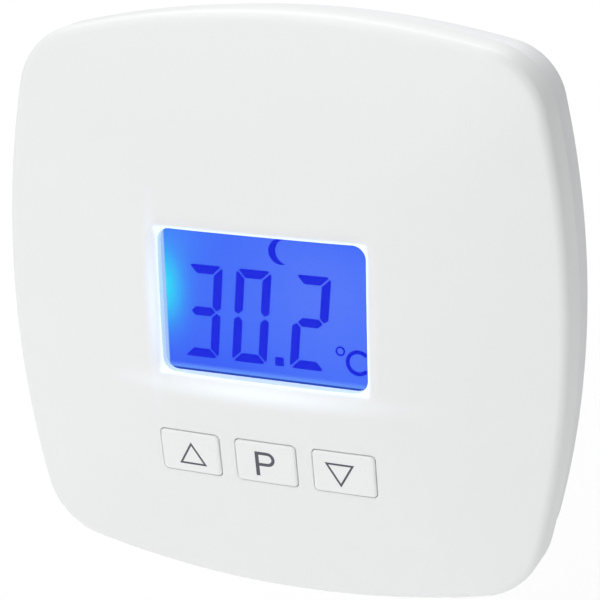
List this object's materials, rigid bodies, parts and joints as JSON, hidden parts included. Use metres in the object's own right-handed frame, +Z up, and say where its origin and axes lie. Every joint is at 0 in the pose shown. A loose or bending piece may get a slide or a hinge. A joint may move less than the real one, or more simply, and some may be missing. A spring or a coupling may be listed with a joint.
{
  "type": "wall thermostat",
  "caption": "Square-faced wall thermostat with bowed sides, a pillow-shaped white cover, a blue segment display and sprung keys below it.",
  "frame": {"origin": "middle of the flat back, on the wall plane, halfway between the two wall screws", "axes": "+X to the right seen from the front, +Y into the wall, so the front faces -Y, and +Z up"},
  "size_m": [0.086, 0.0206, 0.086],
  "materials": {
    "white_shell": "fine satin moulded texture",
    "white_rear": "fine satin moulded texture",
    "white_key": "semi-gloss moulded plastic",
    "key_ink": "grey printed legend",
    "clear_window": "clear polished plastic",
    "lcd_blue": "blue backlit display",
    "lcd_ink": "dark blue display segments",
    "light_guide": "frosted clear plastic",
    "led": "small clear lens",
    "frame_plastic": "moulded",
    "connector_rubber": "soft elastomer",
    "board_green": "solder mask on glass fibre",
    "chip_black": "moulded epoxy",
    "metal_can": "drawn metal can",
    "pin_gold": "plated pins",
    "screw_steel": "zinc plated",
    "relay_case": "moulded case",
    "capacitor_yellow": "moulded case",
    "sleeve_black": "shrink sleeve",
    "varistor_blue": "dipped epoxy",
    "fuse_glass": "glass tube with metal caps",
    "resistor_body": "lacquered body",
    "terminal_green": "moulded",
    "clamp_metal": "plated steel"
  },
  "bodies": {
    "base": {"rear_housing": "white_rear", "power_board": "board_green", "power_board_screws": "screw_steel", "terminal_block": "terminal_green", "terminal_contacts": "pin_gold", "relay": "relay_case", "film_capacitor": "capacitor_yellow", "electrolytic_capacitor": "sleeve_black", "varistor": "varistor_blue", "fuse": "fuse_glass", "rectifier_diodes": "chip_black", "dropper_resistor": "resistor_body", "regulator": "chip_black", "header_socket": "chip_black"},
    "cover": {"front_cover": "white_shell", "display_window": "clear_window", "lcd_cell": "lcd_blue", "lcd_segments": "lcd_ink", "lcd_frame": "frame_plastic", "light_guide": "light_guide", "backlight_led": "led", "connector_strip": "connector_rubber", "front_board": "board_green", "front_board_screws": "screw_steel", "microcontroller": "chip_black", "crystal": "metal_can", "thermistor": "chip_black", "header_pins": "pin_gold", "header_strip": "chip_black", "switch_up": "chip_black", "switch_mode": "chip_black", "switch_down": "chip_black"},
    "key_up": {"key_up": "white_key", "legend_up": "key_ink", "plunger_up": "chip_black"},
    "key_mode": {"key_mode": "white_key", "legend_mode": "key_ink", "plunger_mode": "chip_black"},
    "key_down": {"key_down": "white_key", "legend_down": "key_ink", "plunger_down": "chip_black"},
    "terminal_screw_1": {"terminal_screw_1": "screw_steel"},
    "terminal_clamp_1": {"terminal_clamp_1": "clamp_metal"},
    "terminal_screw_2": {"terminal_screw_2": "screw_steel"},
    "terminal_clamp_2": {"terminal_clamp_2": "clamp_metal"},
    "terminal_screw_3": {"terminal_screw_3": "screw_steel"},
    "terminal_clamp_3": {"terminal_clamp_3": "clamp_metal"},
    "terminal_screw_4": {"terminal_screw_4": "screw_steel"},
    "terminal_clamp_4": {"terminal_clamp_4": "clamp_metal"}
  },
  "joints": [
    {"name": "cover_pull", "type": "slide", "parent": "base", "child": "cover", "axis": [0, -1, 0], "range_m": [0, 0.04]},
    {"name": "press_up", "type": "slide", "parent": "cover", "child": "key_up", "axis": [0, 1, 0], "range_m": [0, 0.0004], "stiffness_N_per_m": 2500},
    {"name": "press_mode", "type": "slide", "parent": "cover", "child": "key_mode", "axis": [0, 1, 0], "range_m": [0, 0.0004], "stiffness_N_per_m": 2500},
    {"name": "press_down", "type": "slide", "parent": "cover", "child": "key_down", "axis": [0, 1, 0], "range_m": [0, 0.0004], "stiffness_N_per_m": 2500},
    {"name": "turn_1", "type": "hinge", "parent": "base", "child": "terminal_screw_1", "pos_m": [-0.0135, -0.0116, -0.0322], "axis": [0, 1, 0], "range_deg": [0, 872]},
    {"name": "lift_1", "type": "slide", "parent": "base", "child": "terminal_clamp_1", "axis": [0, -1, 0], "range_m": [0, 0.00108]},
    {"name": "turn_2", "type": "hinge", "parent": "base", "child": "terminal_screw_2", "pos_m": [-0.0045, -0.0116, -0.0322], "axis": [0, 1, 0], "range_deg": [0, 872]},
    {"name": "lift_2", "type": "slide", "parent": "base", "child": "terminal_clamp_2", "axis": [0, -1, 0], "range_m": [0, 0.00108]},
    {"name": "turn_3", "type": "hinge", "parent": "base", "child": "terminal_screw_3", "pos_m": [0.0045, -0.0116, -0.0322], "axis": [0, 1, 0], "range_deg": [0, 872]},
    {"name": "lift_3", "type": "slide", "parent": "base", "child": "terminal_clamp_3", "axis": [0, -1, 0], "range_m": [0, 0.00108]},
    {"name": "turn_4", "type": "hinge", "parent": "base", "child": "terminal_screw_4", "pos_m": [0.0135, -0.0116, -0.0322], "axis": [0, 1, 0], "range_deg": [0, 872]},
    {"name": "lift_4", "type": "slide", "parent": "base", "child": "terminal_clamp_4", "axis": [0, -1, 0], "range_m": [0, 0.00108]}
  ],
  "couplings": [
    {"joint": "turn_1", "follows": "lift_1", "rad_per_m": 13963},
    {"joint": "turn_2", "follows": "lift_2", "rad_per_m": 13963},
    {"joint": "turn_3", "follows": "lift_3", "rad_per_m": 13963},
    {"joint": "turn_4", "follows": "lift_4", "rad_per_m": 13963}
  ]
}
